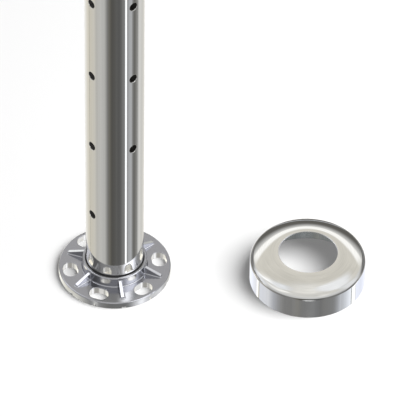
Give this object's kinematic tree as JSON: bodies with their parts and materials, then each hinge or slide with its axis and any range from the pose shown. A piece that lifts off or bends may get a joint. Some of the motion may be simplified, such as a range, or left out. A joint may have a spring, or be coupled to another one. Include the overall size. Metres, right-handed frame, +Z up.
{
  "type": "railing corner post",
  "caption": "Round tube post drilled for rods on two sides at a right angle, in a cast floor flange with slots and ribs, with its cover rosette set down beside the foot.",
  "frame": {"origin": "centre of the flange's underside, on the tube's axis", "axes": "+Z up along the tube; the two drilled sides face -X and -Y, towards the two runs of railing"},
  "size_m": [0.1881, 0.18, 0.96],
  "materials": {
    "polished_tube": "polished",
    "cast_flange": "satin",
    "polished_cover": "polished"
  },
  "bodies": {
    "root": {"post_tube": "polished_tube", "base_flange": "cast_flange", "cover_rosette": "polished_cover"}
  },
  "joints": []
}
